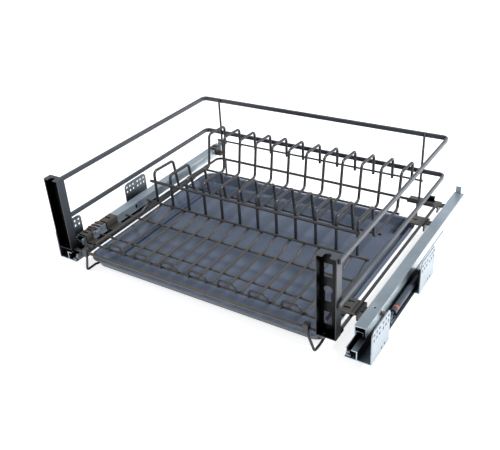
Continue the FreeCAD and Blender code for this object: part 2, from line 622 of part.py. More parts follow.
# Front brackets: channels that are open to the front.
def front_bracket(node, left_edge):
    body = new_body(node)
    s = "bracket_sheet"
    w = "bracket_width"
    d = "bracket_depth"
    outline = (("0", "0"), (s, "0"), (s, d + " - " + s), (w + " - " + s, d + " - " + s),
               (w + " - " + s, "0"), (w, "0"), (w, d), ("0", d))
    channel = loop_sketch(body, node + "_section", "XY_Plane", [outline])
    pad(body, node + "_channel", channel, "bracket_top - bracket_bottom")
    inner = (("%s * 0.5" % s, "0"), ("%s - 0.5 * %s" % (w, s), "0"),
             ("%s - 0.5 * %s" % (w, s), "%s - 0.5 * %s" % (d, s)),
             ("%s * 0.5" % s, "%s - 0.5 * %s" % (d, s)))
    mid = "0.5 * " + w
    notch = [("%s * 0.5" % s, "0")]
    for dx, dy in ((-1, 0), (-1, 0.47), (-0.72, 0.84), (0, 1), (0.72, 0.84), (1, 0.47), (1, 0)):
        notch.append(("%s + (%s) * notch_half" % (mid, dx), "%s * notch_depth" % dy))
    notch += [("%s - 0.5 * %s" % (w, s), "0"), ("%s - 0.5 * %s" % (w, s), "%s - 0.5 * %s" % (d, s)),
              ("%s * 0.5" % s, "%s - 0.5 * %s" % (d, s))]
    floor = loop_sketch(body, node + "_floor_outline", "XY_Plane", [inner],
                        (("floor_hole_x", "floor_hole_y", "floor_hole_r"),))
    pad(body, node + "_floor", floor, s)
    roof = loop_sketch(body, node + "_roof_outline", "XY_Plane", [notch], (),
                       "bracket_top - bracket_bottom - " + s)
    pad(body, node + "_roof", roof, s)
    mid = "window_middle"
    keyhole = [(mid + " - keyhole_half", "keyhole_bottom")]
    for turn in range(225, -46, -30):
        keyhole.append(("%s + keyhole_r * cos(%d)" % (mid, turn),
                        "keyhole_centre + keyhole_r * sin(%d)" % turn))
    keyhole.append((mid + " + keyhole_half", "keyhole_bottom"))
    left = mid + " - window_half"
    right = mid + " + window_half"
    windows = [keyhole]
    if node.startswith("right"):
        windows += [box_loop(left, "upper_window_bottom", right, "upper_window_top"),
                    box_loop(left, "lower_window_bottom", right, "lower_window_top")]
    cuts = loop_sketch(body, node + "_windows", "XZ_Plane", windows, (),
                       "-(%s + 1)" % d)
    pocket(body, node + "_openings", cuts, s + " + 2", True)
    place(body, left_edge, "0", "bracket_bottom")
    return keep(body, node)


front_bracket("left_front_bracket", "bracket_left")
front_bracket("right_front_bracket", "rail_right - 0.5 * rail_thickness - bracket_width")


# Flat rails: rounded bar bent into a U that is open to the front.
def flat_rail(node, z, left_end, right_end):
    left = size("rail_left")
    right = size("rail_right")
    back = size("rail_back")
    points = [V(left, left_end, z), V(left, back, z), V(right, back, z), V(right, right_end, z)]
    path = path_wire(points, size("rail_bend"))
    h = size("rail_height") / 2.0
    t = size("rail_thickness") / 2.0
    r = size("rail_round")
    start = points[0]
    spots = [V(-t + r, 0, -h), V(t - r, 0, -h), V(t, 0, -h + r), V(t, 0, h - r),
             V(t - r, 0, h), V(-t + r, 0, h), V(-t, 0, h - r), V(-t, 0, -h + r)]
    spots = [start + p for p in spots]
    k = r * (1 - math.sqrt(0.5))
    knees = [start + V(t - k, 0, -h + k), start + V(t - k, 0, h - k),
             start + V(-t + k, 0, h - k), start + V(-t + k, 0, -h + k)]
    edges = []
    for i in range(4):
        a, b, c = spots[2 * i], spots[2 * i + 1], spots[(2 * i + 2) % 8]
        edges.append(Part.LineSegment(a, b).toShape())
        edges.append(Part.Arc(b, knees[i], c).toShape())
    bar = path.makePipeShell([Part.Wire(edges)], True, False)
    return swept_piece(node, [bar])


flat_rail("top_rail", size("top_rail_z"), size("bracket_depth"), 3.0)
flat_rail("middle_rail_bar", size("mid_rail_z"), size("bracket_depth"), 3.0)

# Base frame, posts and straight wires
inner_face = "rail_back - 0.5 * rail_thickness"
base_back = size("rail_back") - size("rail_thickness") / 2.0 + size("wire_base_r")
base_points = [V(size("base_left"), size("base_front") + size("wire_base_r"), size("base_z")),
               V(size("base_left"), base_back, size("base_z")),
               V(size("base_right"), base_back, size("base_z")),
               V(size("base_right"), size("base_front") + size("wire_base_r"), size("base_z"))]
swept_piece("base_frame", [swept_tube(base_points, size("base_bend"), size("wire_base_r"))])
straight_wire("base_front_wire", "wire_base_r", "base_right + wire_base_r - base_front_start",
              "base_front_start", "base_front", "base_z")
posts = []
for name in ("post_left", "post_right"):
    spot = V(size(name), base_back - size("wire_base_r") - size("post_r"),
             size("base_z") - size("wire_base_r"))
    tall = size("top_rail_z") + size("rail_height") / 2.0 - spot.z - 1.0
    posts.append(Part.makeCylinder(size("post_r"), tall, spot))
swept_piece("rear_posts", posts)
straight_wire("upper_rear_wire", "rear_wire_r", "rear_wire_length", "rear_wire_start",
              inner_face + " - 2 * post_r - rear_wire_r", "rear_wire_z")

# Dividers: one wire each, bent into a rear hoop, a low run and a front hoop
leg_y = (size("rail_back") - size("rail_thickness") / 2.0 - 2 * size("post_r")
         - 2 * size("rear_wire_r") - size("divider_r"))
low = size("divider_low")
profile = [(leg_y, size("divider_leg_end")), (leg_y, size("divider_rear_top")),
           (leg_y - size("divider_rear_length"), size("divider_rear_top_front")),
           (size("divider_foot"), low), (size("divider_valley"), low),
           (size("divider_front_back"), size("divider_front_top_back")),
           (size("divider_front_leg"), size("divider_front_top")),
           (size("divider_front_leg"), size("divider_front_end"))]
tight = size("divider_bend")
for i in range(int(size("divider_count"))):
    x = size("divider_first") + i * size("divider_pitch")
    run = [V(x, y, z) for y, z in profile]
    swept_piece("divider_%02d" % (i + 1), [swept_tube(run, tight, size("divider_r"))])

under = "divider_low - divider_r - cross_r"
straight_wire("foot_wire", "cross_r", "cross_length", "cross_start", "foot_wire_y", under)
straight_wire("valley_wire", "cross_r", "cross_length", "cross_start", "valley_wire_y", under)
straight_wire("front_row_rail", "row_rail_r", "cross_length", "cross_start",
              "divider_front_leg - divider_r - row_rail_r", "row_rail_z")

# Bowl rack in front: wires from front to back on four cross wires
bowl = []
rear_low = size("bowl_rear_z") - size("cross_r") - size("bowl_r")
for i in range(int(size("bowl_count"))):
    x = size("bowl_first") + i * size("bowl_pitch")
    run = [V(x, size("bowl_front"), size("bowl_z")),
           V(x, size("bowl_rise_start"), size("bowl_z")),
           V(x, size("bowl_rise_end"), rear_low), V(x, size("bowl_end"), rear_low)]
    bowl.append(swept_tube(run, size("bowl_bend"), size("bowl_r")))
swept_piece("bowl_wires", bowl)
bowl_under = "bowl_z - bowl_r - cross_r"
straight_wire("bowl_rear_wire", "cross_r", "bowl_rear_length", "bowl_rear_start",
              "divider_front_leg - divider_r - cross_r", "bowl_rear_z")
straight_wire("bowl_second_wire", "cross_r", "bowl_second_length", "bowl_second_start",
              "bowl_second_y", bowl_under)
straight_wire("bowl_third_wire", "cross_r", "bowl_third_length", "bowl_third_start",
              "bowl_third_y", bowl_under)
straight_wire("bowl_front_wire", "cross_r", "bowl_front_length", "bowl_front_start",
              "bowl_front_y", bowl_under)
arches = []
for i in range(int(size("arch_count"))):
    x = size("arch_first") + i * size("arch_pitch")
    y = size("bowl_front_y") - size("cross_r") - size("arch_r")
    foot = size("bowl_z") - size("bowl_r") - size("cross_r")
    half = size("arch_width") / 2.0
    run = [V(x - half, y, foot), V(x - half, y, size("arch_top")),
           V(x + half, y, size("arch_top")), V(x + half, y, foot)]
    arches.append(swept_tube(run, size("arch_bend"), size("arch_r")))
swept_piece("front_arches", arches)


# Fixing plates between the base frame and the drawer rails
def flat_plate(x1, y1, x2, y2, z, holes=()):
    plate = Part.makeBox(x2 - x1, y2 - y1, size("fix_thickness"), V(x1, y1, z))
    for hx, hy, length, radius in holes:
        slot = Part.makeBox(length - 2 * radius, 2 * radius, 20, V(hx - length / 2.0 + radius, hy - radius, z - 9))
        for end in (-1, 1):
            spot = V(hx + end * (length / 2.0 - radius), hy, z - 9)
            slot = slot.fuse(Part.makeCylinder(radius, 20, spot))
        plate = plate.cut(slot)
    return plate


fix = size("fix_thickness")
wire_top = size("base_z") + size("wire_base_r")
wire_in = size("base_left") + size("wire_base_r")
wire_back = base_back + size("wire_base_r")
on_rail = size("drawer_top")
rail_side = size("drawer_inner") - size("cabinet_half")
rail_edge = rail_side - size("plate_on_rail")


def stepped_plate(y1, y2, hole):
    """Plate that lies on the drawer rail and steps down to the base wire."""
    spots = ((rail_edge, on_rail), (rail_side, on_rail), (rail_side, wire_top),
             (wire_in, wire_top), (wire_in, wire_top + fix), (rail_side + fix, wire_top + fix),
             (rail_side + fix, on_rail + fix), (rail_edge, on_rail + fix))
    outline = Part.makePolygon([V(x, y1, z) for x, z in spots] + [V(spots[0][0], y1, spots[0][1])])
    plate = Part.Face(outline).extrude(V(0, y2 - y1, 0))
    middle = V((rail_edge + rail_side) / 2.0, (y1 + y2) / 2.0, on_rail)
    slot = Part.makeBox(2 * hole, hole, fix, middle + V(-hole, -hole / 2.0, 0))
    for end in (-1, 1):
        slot = slot.fuse(Part.makeCylinder(hole / 2.0, fix, middle + V(end * hole, 0, 0)))
    return plate.cut(slot)


slot_width = size("plate_slot")
left_plates = [stepped_plate(size(n), size(n) + size(n + "_long"), slot_width)
               for n in ("plate_one", "plate_two", "plate_three")]
swept_piece("left_fixing_plates", left_plates)
under_wire = size("base_z") - size("wire_base_r") - fix
rail_face = size("cabinet_half") - size("drawer_inner")


def flanged_plate(inner, outer, y1, y2, holes):
    """Plate under the base wire, turned down at its edge, with a lug to the drawer rail."""
    x1 = size("base_right") - inner
    x2 = size("base_right") + outer
    plate = flat_plate(x1, y1, x2, y2, under_wire, holes)
    turned = size("plate_flange")
    flange = Part.makeBox(fix, y2 - y1, turned, V(x2 - fix, y1, under_wire - turned))
    half = size("lug_width") / 2.0
    middle = (y1 + y2) / 2.0
    lug = Part.makeBox(rail_face - x2, 2 * half, fix, V(x2, middle - half, under_wire))
    tab = Part.makeBox(fix, 2 * half, size("lug_top") - under_wire,
                       V(rail_face - fix, middle - half, under_wire))
    return plate.fuse(flange).fuse(lug).fuse(tab).removeSplitter()


side_x = size("base_right")
right_plates = [
    flanged_plate(25.0, 6.0, 71.0, 104.0,
                  ((side_x - 15.0, 80.0, 11.0, 2.4), (side_x - 15.0, 95.0, 11.0, 2.4))),
    flanged_plate(30.0, 5.0, 343.0, 370.0, ((side_x - 17.0, 356.0, 11.0, 2.4),)),
    flanged_plate(53.0, 4.0, wire_back - 5.0, wire_back + 17.0,
                  ((side_x - 22.0, wire_back + 9.0, 14.0, 2.4),)),
]
swept_piece("right_fixing_plates", right_plates)

# Tray carriers: wires that hang under the front and rear base wires
run_z = size("carrier_z")
front_y = size("base_front")
carriers = []
clips = []
for top_x, low_x, under_x, hang in (
        (size("carrier_left_top"), size("carrier_left"), size("carrier_left_under"), under_wire + fix),
        (size("carrier_right_top"), size("carrier_right"), size("carrier_right_under"), under_wire)):
    run = [V(top_x, front_y, size("clip_bottom")), V(low_x, front_y, run_z),
           V(low_x, size("carrier_straight"), run_z), V(under_x, size("carrier_turn"), run_z),
           V(under_x, size("carrier_back"), run_z), V(under_x, size("carrier_back"), hang)]
    carriers.append(swept_tube(run, size("carrier_bend"), size("carrier_r")))
    half = size("clip_width") / 2.0
    tall = size("clip_top") - size("clip_bottom")
    block = Part.makeBox(2 * half, 2 * half + 1.0, tall,
                         V(top_x - half, front_y - half - 0.5, size("clip_bottom")))
    through = Part.makeCylinder(size("wire_base_r"), 2 * half, V(top_x - half, front_y, size("base_z")),
                                V(1, 0, 0))
    block = block.makeChamfer(1.5, [e for e in block.Edges if e.BoundBox.ZMin > size("clip_top") - 0.1])
    clips.append(block.cut(through).cut(carriers[-1]))
swept_piece("tray_carriers", carriers)
swept_piece("carrier_clips", clips)


# Drip tray: shallow, with leaning walls, rounded corners and a turned rim
def rounded_rectangle(x1, y1, x2, y2, r, z):
    k = r * (1 - math.sqrt(0.5))
    edges = []
    spots = ((V(x1 + r, y1, z), V(x2 - r, y1, z), V(x2 - k, y1 + k, z), V(x2, y1 + r, z)),
             (V(x2, y1 + r, z), V(x2, y2 - r, z), V(x2 - k, y2 - k, z), V(x2 - r, y2, z)),
             (V(x2 - r, y2, z), V(x1 + r, y2, z), V(x1 + k, y2 - k, z), V(x1, y2 - r, z)),
             (V(x1, y2 - r, z), V(x1, y1 + r, z), V(x1 + k, y1 + k, z), V(x1 + r, y1, z)))
    for a, b, m, c in spots:
        edges.append(Part.LineSegment(a, b).toShape())
        edges.append(Part.Arc(b, m, c).toShape())
    return Part.Wire(edges)


def tray_level(inset, z):
    return rounded_rectangle(size("tray_left") + inset, size("tray_front") + inset,
                             size("tray_right") - inset, size("tray_back") - inset,
                             max(size("tray_corner") - inset * 0.6, 4.0), z)


tray_bottom = run_z + size("carrier_r")
lip = size("tray_lip")
lean = size("tray_draft")
wall = size("tray_wall")
rim = size("tray_rim_z")
bevel_in = size("tray_bevel_in")
bevel_up = size("tray_bevel_up")
outer = Part.makeLoft([tray_level(lip + lean + bevel_in, tray_bottom),
                       tray_level(lip + lean, tray_bottom + bevel_up), tray_level(lip, rim)], True, True)
inner = Part.makeLoft([tray_level(lip + lean + bevel_in + wall, tray_bottom + wall),
                       tray_level(lip + lean + wall, tray_bottom + bevel_up + wall),
                       tray_level(lip + wall, rim)], True, True)
plate = Part.Face(tray_level(0.0, rim - wall)).extrude(V(0, 0, wall))
plate = plate.cut(Part.Face(tray_level(lip + wall, rim - wall)).extrude(V(0, 0, wall)))
tray = outer.cut(inner).fuse(plate).removeSplitter()
groove_long = size("tray_back") - size("tray_front") - 4 * size("tray_groove")
for x in (size("tray_left") + size("tray_groove"),
          size("tray_right") - size("tray_groove") - size("tray_groove_width")):
    cut = Part.makeBox(size("tray_groove_width"), groove_long, 5.0,
                       V(x, size("tray_front") + 2 * size("tray_groove"),
                         tray_bottom + wall - size("tray_groove_depth")))
    tray = tray.cut(cut)
swept_piece("drip_tray", [tray])

doc.recompute()
for thing in doc.Objects:
    if "Invalid" in thing.State or "Error" in thing.State:
        raise ValueError(thing.Label)
for thing in nodes:
    shape = thing.Shape
    if shape.isNull() or not shape.isValid():
        raise ValueError(thing.Label)
    shape.exportStep("parts/%s.step" % thing.Label)
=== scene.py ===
import math

import bmesh
import bpy
from mathutils import Matrix, Vector


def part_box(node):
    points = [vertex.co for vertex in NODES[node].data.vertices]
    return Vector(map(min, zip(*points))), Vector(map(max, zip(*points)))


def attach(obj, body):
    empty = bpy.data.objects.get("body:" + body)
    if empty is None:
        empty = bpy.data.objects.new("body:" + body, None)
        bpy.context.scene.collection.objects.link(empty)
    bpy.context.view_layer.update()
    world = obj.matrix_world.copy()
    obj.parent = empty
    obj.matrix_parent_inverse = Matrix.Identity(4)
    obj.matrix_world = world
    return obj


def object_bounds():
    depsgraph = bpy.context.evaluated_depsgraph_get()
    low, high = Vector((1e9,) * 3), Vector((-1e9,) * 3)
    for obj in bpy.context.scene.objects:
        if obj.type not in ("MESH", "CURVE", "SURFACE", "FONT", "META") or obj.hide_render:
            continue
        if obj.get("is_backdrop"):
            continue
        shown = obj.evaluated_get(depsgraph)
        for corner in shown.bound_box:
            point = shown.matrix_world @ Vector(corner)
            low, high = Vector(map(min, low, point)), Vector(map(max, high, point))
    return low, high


bl_info = {
    "name": "Pull-out dish rack",
    "version": (1, 0, 0),
    "blender": (4, 5, 0),
    "location": "View3D > Sidebar > Dish rack",
    "description": "Finishes and small parts of a pull-out dish rack on its packed frame",
    "category": "Object",
}

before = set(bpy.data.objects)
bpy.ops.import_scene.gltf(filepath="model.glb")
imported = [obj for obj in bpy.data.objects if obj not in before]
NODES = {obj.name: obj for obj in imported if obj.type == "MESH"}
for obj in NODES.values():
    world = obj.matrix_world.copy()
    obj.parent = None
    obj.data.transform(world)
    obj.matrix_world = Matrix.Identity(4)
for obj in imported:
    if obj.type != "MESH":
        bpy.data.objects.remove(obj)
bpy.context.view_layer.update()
MM = 0.001
DIVIDERS = ["divider_%02d" % i for i in range(1, 13)]
BOWL_WIRES = 17
RACK_MIDDLE = Vector((0.28, 0.2, 0.0))
# the photograph's camera, fitted to the rails, frame, plates and dividers
CAMERA_SPOT = (0.81396, -0.66457, 0.57317)
CAMERA_TURN = (35.645, 31.019, -4.580)  # azimuth, elevation and roll in degrees
CAMERA_SHIFT = (0.0414, 0.0155)
# how deep an edge's shading is rounded, and how far the painted shade in channels and hollows
# reaches (as a distance in metres, then the openness at which it is full and at which it ends)
WIRE_EDGE, SHEET_EDGE, TRAY_EDGE = 0.6 * MM, 0.7 * MM, 1.2 * MM
WIRE_REACH = (25 * MM, 0.3, 0.9)
BRACKET_REACH = (120 * MM, 0.62, 0.98)
CHANNEL_REACH = (45 * MM, 0.3, 0.95)
DRAWER_RAIL_REACH = (12 * MM, 0.2, 0.7)
PLASTIC_SKIN = 0.6 * MM

WIRE_NODES = ["base_front_wire", "bowl_front_wire", "bowl_rear_wire",
              "bowl_second_wire", "bowl_third_wire", "bowl_wires"]
DARK_NODES = ["base_frame", "carrier_clips", "foot_wire", "front_row_rail", "rear_posts",
              "upper_rear_wire", "valley_wire", "tray_carriers", "front_arches"]
DARK_NODES += DIVIDERS
FITTING_NODES = ["left_fixing_plates", "right_fixing_plates"]
BAR_NODES = ["top_rail", "middle_rail_bar"]
BRACKET_NODES = ["left_front_bracket", "right_front_bracket"]


def linear(code):
    """sRGB hex code as a linear colour with alpha."""
    parts = [int(code[i:i + 2], 16) / 255 for i in (1, 3, 5)]
    light = [p / 12.92 if p <= 0.04045 else ((p + 0.055) / 1.055) ** 2.4 for p in parts]
    return (*light, 1.0)


def add_node(tree, kind, inputs=None, **settings):
    """Adds a node, sets its properties, and sets or links its inputs."""
    made = tree.nodes.new(kind)
    for key, value in settings.items():
        setattr(made, key, value)
    for key, value in (inputs or {}).items():
        socket = made.inputs[key]
        if isinstance(value, bpy.types.NodeSocket):
            tree.links.new(value, socket)
        else:
            socket.default_value = value
    return made


def blank_material(name):
    """Empty node material; returns it with its tree."""
    material = bpy.data.materials.new(name)
    material.use_nodes = True
    material.node_tree.nodes.clear()
    return material, material.node_tree


def close(tree, shader):
    """Links a shader to the material's output."""
    add_node(tree, "ShaderNodeOutputMaterial", {"Surface": shader.outputs[0]})


def mixed(tree, factor, low, high):
    """Colour between two others by a factor socket."""
    made = add_node(tree, "ShaderNodeMix", {"Factor": factor}, data_type="RGBA")
    for name, value in (("A", low), ("B", high)):
        socket = [s for s in made.inputs if s.name == name and s.type == "RGBA"][0]
        if isinstance(value, bpy.types.NodeSocket):
            tree.links.new(value, socket)
        else:
            socket.default_value = value
    return [s for s in made.outputs if s.type == "RGBA"][0]


def dress(names, material):
    """Gives CAD nodes one material."""
    for name in names:
        mesh = NODES[name].data
        mesh.materials.clear()
        mesh.materials.append(material)


def openness(tree, reach, low, high):
    """Factor from 0 deep in a channel to 1 on an open face."""
    air = add_node(tree, "ShaderNodeAmbientOcclusion", {"Distance": reach}, samples=8)
    scaled = add_node(tree, "ShaderNodeMapRange", {"Value": air.outputs["AO"],
                      "From Min": low, "From Max": high})
    return scaled.outputs[0]


def powder_coat(name, base, worn, gloss, painted_shade_colour="#1c1c1c", inside=WIRE_REACH):
    """Epoxy powder coat on steel: a satin film with fine orange peel, so highlights are
    soft and a little broken. Deep in a channel it carries painted shade: its colour goes towards
    a dark colour and its specular level is lowered."""
    material, tree = blank_material(name)
    spot = add_node(tree, "ShaderNodeTexCoord").outputs["Object"]
    cloud = add_node(tree, "ShaderNodeTexNoise", {"Vector": spot, "Scale": 35.0, "Detail": 3.0})
    # orange peel of about 0.6 mm, drawn at 1.2 mm so that it shows
    peel = add_node(tree, "ShaderNodeTexNoise", {"Vector": spot, "Scale": 850.0, "Detail": 2.0})
    colour = mixed(tree, cloud.outputs["Fac"], base, worn)
    outside = openness(tree, *inside)
    # painted shade: the colour goes dark deep in channels and hollows, by ambient occlusion
    colour = mixed(tree, outside, linear(painted_shade_colour), colour)
    shine = add_node(tree, "ShaderNodeMapRange", {"Value": outside, "To Min": 0.05,
                     "To Max": 0.5})
    rough = add_node(tree, "ShaderNodeMapRange", {"Value": peel.outputs["Fac"],
                     "To Min": gloss - 0.06, "To Max": gloss + 0.08})
    edge = add_node(tree, "ShaderNodeBevel", {"Radius": WIRE_EDGE}, samples=4)
    bump = add_node(tree, "ShaderNodeBump", {"Height": peel.outputs["Fac"], "Strength": 0.12,
                    "Distance": 0.0003, "Normal": edge.outputs[0]})
    close(tree, add_node(tree, "ShaderNodeBsdfPrincipled", {
        "Base Color": colour, "Roughness": rough.outputs[0], "Metallic": 0.0,
        "Normal": bump.outputs[0], "Specular IOR Level": shine.outputs[0]}))
    return material


def zinc_plate(name, base, cool, metal, inside=CHANNEL_REACH):
    """Zinc-plated cold-rolled steel: bluish metal with a fine rolling grain along the
    runner and slow clouds from the plating bath."""
    material, tree = blank_material(name)
    spot = add_node(tree, "ShaderNodeTexCoord").outputs["Object"]
    # rolling grain of about 0.4 mm across, stretched along the runner
    lay = add_node(tree, "ShaderNodeMapping", {"Vector": spot, "Scale": (900.0, 18.0, 900.0)})
    grain = add_node(tree, "ShaderNodeTexNoise", {"Vector": lay.outputs[0], "Scale": 1.0,
                     "Detail": 3.0})
    cloud = add_node(tree, "ShaderNodeTexNoise", {"Vector": spot, "Scale": 22.0, "Detail": 4.0,
                     "Roughness": 0.6})
    tint = add_node(tree, "ShaderNodeMapRange", {"Value": cloud.outputs["Fac"],
                    "From Min": 0.3, "From Max": 0.7})
    colour = mixed(tree, tint.outputs[0], base, cool)
    # painted shade: folds and channels are darkened towards a near-black colour
    colour = mixed(tree, openness(tree, *inside), linear("#181d22"), colour)
    rough = add_node(tree, "ShaderNodeMapRange", {"Value": grain.outputs["Fac"],
                     "To Min": 0.26, "To Max": 0.4})
    # folded sheet keeps a small radius at its edges, which catches the light
    edge = add_node(tree, "ShaderNodeBevel", {"Radius": SHEET_EDGE}, samples=4)
    bump = add_node(tree, "ShaderNodeBump", {"Height": grain.outputs["Fac"], "Strength": 0.03,
                    "Distance": 0.0002, "Normal": edge.outputs[0]})
    close(tree, add_node(tree, "ShaderNodeBsdfPrincipled", {
        "Base Color": colour, "Roughness": rough.outputs[0], "Metallic": metal,
        "Normal": bump.outputs[0]}))
    return material


def moulded(name, base, shade, low, high):
    """Injection-moulded plastic: even colour with a fine spark-eroded skin."""
    material, tree = blank_material(name)
    spot = add_node(tree, "ShaderNodeTexCoord").outputs["Object"]
    cloud = add_node(tree, "ShaderNodeTexNoise", {"Vector": spot, "Scale": 14.0, "Detail": 3.0})
    skin = add_node(tree, "ShaderNodeTexNoise", {"Vector": spot, "Scale": 1.0 / PLASTIC_SKIN,
                    "Detail": 2.0})
    colour = mixed(tree, cloud.outputs["Fac"], base, shade)
    rough = add_node(tree, "ShaderNodeMapRange", {"Value": skin.outputs["Fac"],
                     "To Min": low, "To Max": high})
    bump = add_node(tree, "ShaderNodeBump", {"Height": skin.outputs["Fac"], "Strength": 0.1,
                    "Distance": 0.0002})
    close(tree, add_node(tree, "ShaderNodeBsdfPrincipled", {
        "Base Color": colour, "Roughness": rough.outputs[0], "Normal": bump.outputs[0]}))
    return material


def new_piece(name, shape, material, body):
    """Makes an object of a finished bmesh and puts it on its body."""
    mesh = bpy.data.meshes.new(name)
    shape.to_mesh(mesh)
    shape.free()
    mesh.materials.append(material)
    piece = bpy.data.objects.new(name, mesh)
    bpy.context.scene.collection.objects.link(piece)
    for face in mesh.polygons:
        face.use_smooth = True
    mesh.set_sharp_from_angle(angle=math.radians(40.0))
    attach(piece, body)


def box_mm(node):
    """Lowest and highest corners of a node in millimetres."""
    return [Vector(corner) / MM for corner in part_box(node)]


def block(shape, across, along, up, radius):
    """Block with rounded edges between spans in x, y and z, all in millimetres."""
    low, high = (Vector(ends) * MM for ends in zip(across, along, up))
    made = bmesh.ops.create_cube(shape, size=1.0)["verts"]
    bmesh.ops.scale(shape, verts=made, vec=high - low)
    bmesh.ops.translate(shape, verts=made, vec=(low + high) / 2)
    edges = list({edge for vert in made for edge in vert.link_edges})
    bmesh.ops.bevel(shape, geom=edges, offset=radius * MM, segments=2, profile=0.5,
                    affect="EDGES", material=-1)


def turned(shape, middle, radius, length, axis, edge):
    """Turned part along an axis, with rounded rims, all in millimetres."""
    made = bmesh.ops.create_cone(shape, cap_ends=True, segments=28, radius1=radius * MM,
                                 radius2=radius * MM, depth=length * MM)["verts"]
    if axis != "Z":
        around = "Y" if axis == "X" else "X"
        bmesh.ops.rotate(shape, verts=made, matrix=Matrix.Rotation(math.pi / 2, 3, around))
    bmesh.ops.translate(shape, verts=made, vec=Vector(middle) * MM)
    caps = {face for vert in made for face in vert.link_faces if len(face.verts) > 4}
    rims = list({line for cap in caps for line in cap.edges})
    bmesh.ops.bevel(shape, geom=rims, offset=edge * MM, segments=2, profile=0.5,
                    affect="EDGES", material=-1)


def weld_bead(shape, spot, radius):
    """Low bead of weld round a crossing of two wires, in millimetres."""
    made = bmesh.ops.create_uvsphere(shape, u_segments=8, v_segments=6,
                                     radius=radius * MM)["verts"]
    bmesh.ops.scale(shape, verts=made, vec=(1.15, 1.15, 0.8))
    bmesh.ops.translate(shape, verts=made, vec=Vector(spot) * MM)


class RackFinish(bpy.types.PropertyGroup):
    """Colours of the rack."""

    wire_colour: bpy.props.FloatVectorProperty(
        name="Wire", description="Powder coat of the wires", subtype="COLOR", size=4,
        min=0.0, max=1.0, default=linear("#464340"))
    bar_colour: bpy.props.FloatVectorProperty(
        name="Flat rails", description="Powder coat of the flat rails and brackets",
        subtype="COLOR", size=4, min=0.0, max=1.0, default=linear("#3d4147"))
    zinc_colour: bpy.props.FloatVectorProperty(
        name="Runners", description="Zinc plating of the runners", subtype="COLOR", size=4,
        min=0.0, max=1.0, default=linear("#c0ccd5"))
    tray_colour: bpy.props.FloatVectorProperty(
        name="Tray", description="Plastic of the drip tray", subtype="COLOR", size=4,
        min=0.0, max=1.0, default=linear("#5c6779"))
    ring_colour: bpy.props.FloatVectorProperty(
        name="Damper ring", description="Ring round each damper", subtype="COLOR", size=4,
        min=0.0, max=1.0, default=linear("#c05a28"))


class StudioSizes(bpy.types.PropertyGroup):
    """Light and camera."""

    key_power: bpy.props.FloatProperty(
        name="Key light", description="Power of the key light in watts", default=52.0, min=0.0)
    room_light: bpy.props.FloatProperty(
        name="Room light", description="Strength of the even light from all round",
        default=0.14, min=0.0)
    wall_light: bpy.props.FloatProperty(
        name="Wall light", description="Strength of the bright wall behind the rack",
        default=0.8, min=0.0)
    paper_lift: bpy.props.FloatProperty(
        name="Paper lift", description="Light added to the floor as the camera sees it",
        default=0.8, min=0.0)
    lens: bpy.props.FloatProperty(
        name="Lens", description="Focal length of the camera", default=48.835, min=1.0,
        unit="CAMERA")


class RACK_OT_coat_wires(bpy.types.Operator):
    """Powder-coats the wires, flat rails, brackets and fixing plates"""

    bl_idname = "rack.coat_wires"
    bl_label = "Coat wires and rails"

    def execute(self, context):
        finish = context.scene.rack_finish
        wire = powder_coat("powder_coated_wire", tuple(finish.wire_colour),
                           linear("#524e4a"), 0.3)
        bar = powder_coat("powder_coated_bar", tuple(finish.bar_colour), linear("#4c5057"), 0.36)
        # the bracket's inside is painted near-black shade over a long reach
        dark = powder_coat("powder_coated_bracket", linear("#3c4046"), linear("#474b52"), 0.34,
                           "#050506", BRACKET_REACH)
        grey = powder_coat("powder_coated_divider", linear("#333437"), linear("#3c3d41"), 0.32)
        dress(WIRE_NODES + FITTING_NODES, wire)
        dress(DARK_NODES, grey)
        dress(BAR_NODES, bar)
        dress(BRACKET_NODES, dark)
        return {"FINISHED"}


class RACK_OT_plate_runners(bpy.types.Operator):
    """Gives the runners their zinc plating and the dampers their plastic"""

    bl_idname = "rack.plate_runners"
    bl_label = "Plate runners"

    def execute(self, context):
        finish = context.scene.rack_finish
        zinc = zinc_plate("zinc_plated_steel", tuple(finish.zinc_colour), linear("#a5b4bf"), 0.9)
        slide = zinc_plate("zinc_plated_drawer_rail", linear("#ccd8e0"), linear("#b4c4ce"), 0.85,
                           DRAWER_RAIL_REACH)
        pale = zinc_plate("zinc_plated_screw_plate", linear("#a4afb9"), linear("#97a3ad"), 0.6)
        black = moulded("moulded_black_nylon", linear("#343c45"), linear("#3d4650"), 0.3, 0.42)
        ring = moulded("moulded_orange_nylon", tuple(finish.ring_colour), linear("#a84c20"),
                       0.35, 0.5)
        acetal = moulded("moulded_white_acetal", linear("#d6d6d0"), linear("#c8c8c2"), 0.3, 0.4)
        for side in ("left_", "right_"):
            dress([side + n for n in ("cabinet_rail", "middle_rail")], zinc)
            dress([side + "drawer_rail"], slide)
            dress([side + "front_plate", side + "rear_plate"], pale)
            dress([side + "damper", side + "damper_rod"], black)
            dress([side + "damper_ring"], ring)
            dress([side + "upper_rollers", side + "lower_rollers"], acetal)
        return {"FINISHED"}


